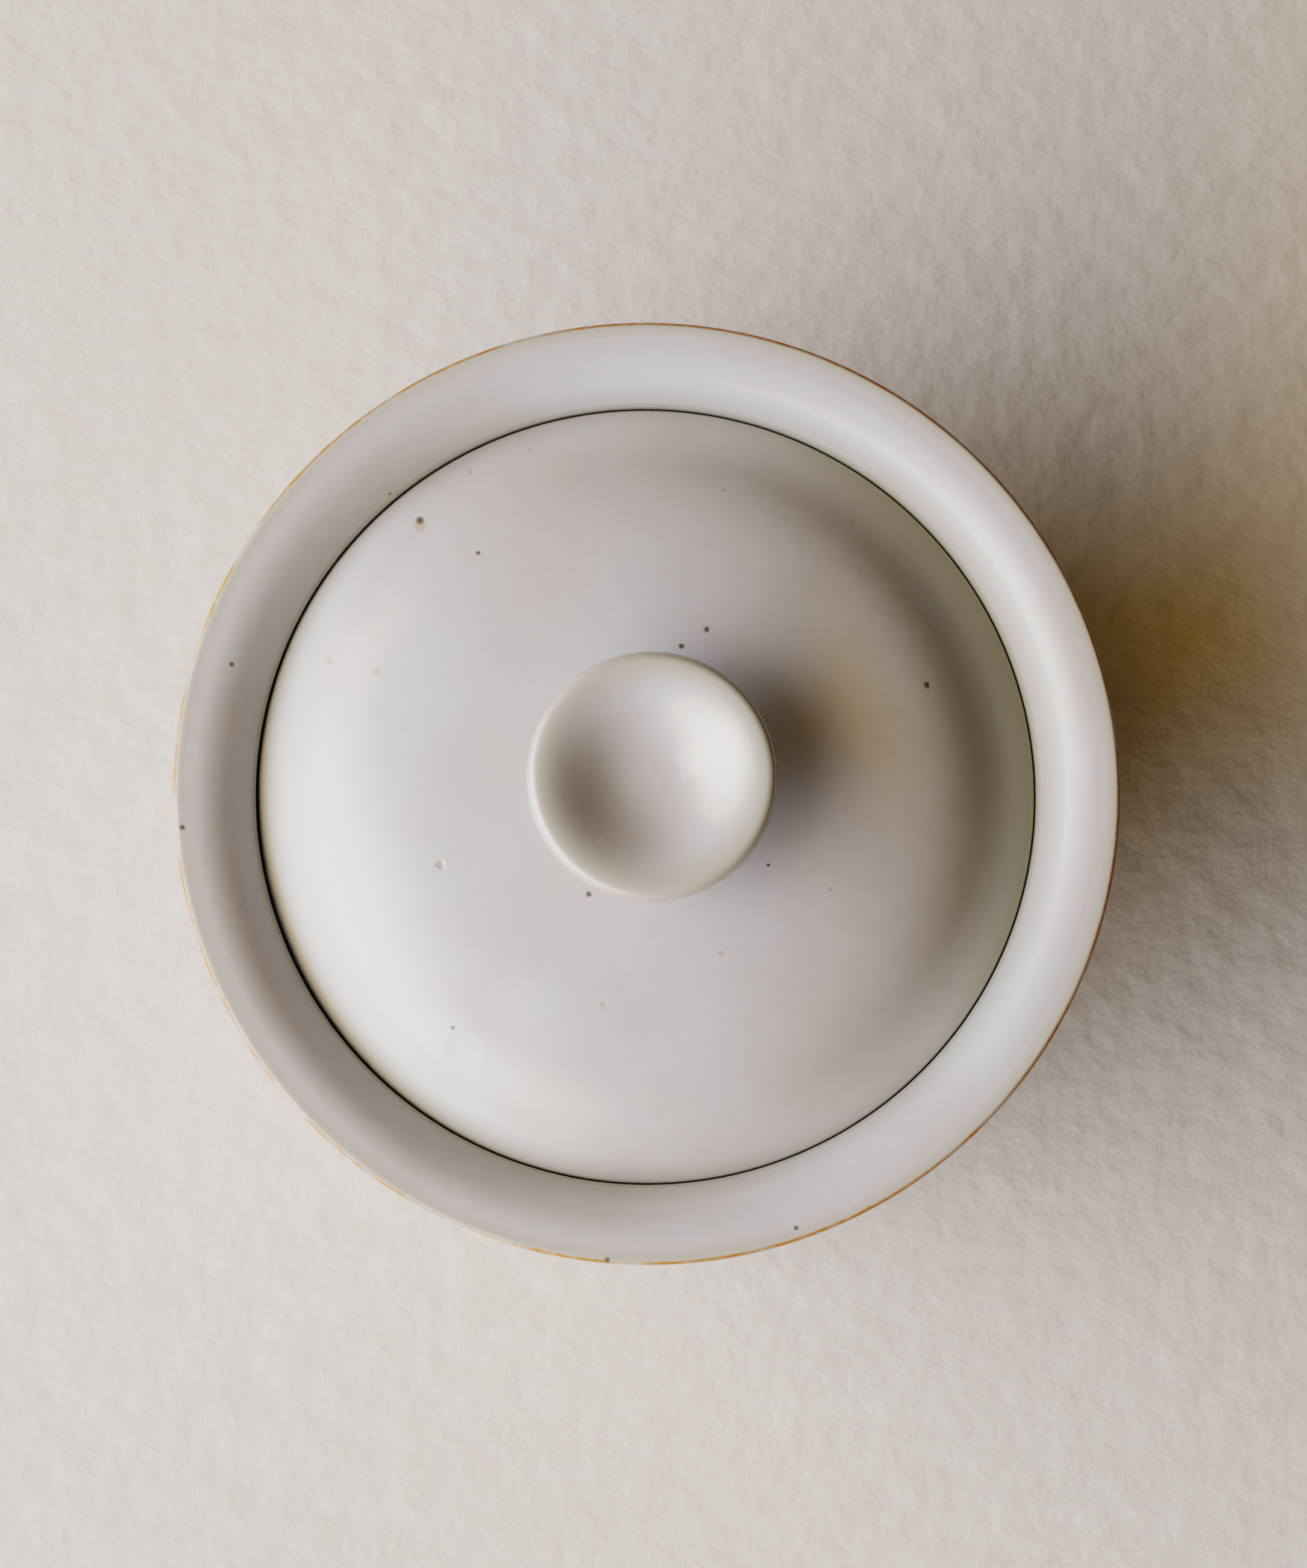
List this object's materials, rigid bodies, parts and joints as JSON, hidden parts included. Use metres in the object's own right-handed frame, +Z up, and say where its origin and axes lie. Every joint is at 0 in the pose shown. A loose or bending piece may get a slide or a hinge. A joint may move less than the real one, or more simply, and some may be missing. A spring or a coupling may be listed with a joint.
{
  "type": "go stone bowl",
  "caption": "Lidded stoneware bowl for go stones: round belly on a foot ring, flared rim, domed lid dropped into a stepped well, dished finger knob.",
  "frame": {"origin": "centre of the foot ring's flat base, where the bowl stands on the table", "axes": "+Z up along the turning axis of the bowl, lid and knob; X and Y lie in the table plane"},
  "size_m": [0.14, 0.14, 0.1033],
  "materials": {
    "bowl_glaze": "satin pale grey stoneware glaze, iron brown at the lip, bare clay foot",
    "lid_glaze": "satin pale grey stoneware glaze with small iron specks",
    "knob_glaze": "satin to glossy pale grey glaze, thinner and more beige at the lip"
  },
  "bodies": {
    "bowl": {"bowl": "bowl_glaze"},
    "lid": {"lid": "lid_glaze", "knob": "knob_glaze"}
  },
  "joints": [
    {"name": "lid_lift", "type": "slide", "parent": "bowl", "child": "lid", "axis": [0, 0, 1], "range_m": [0, 0.08]}
  ]
}
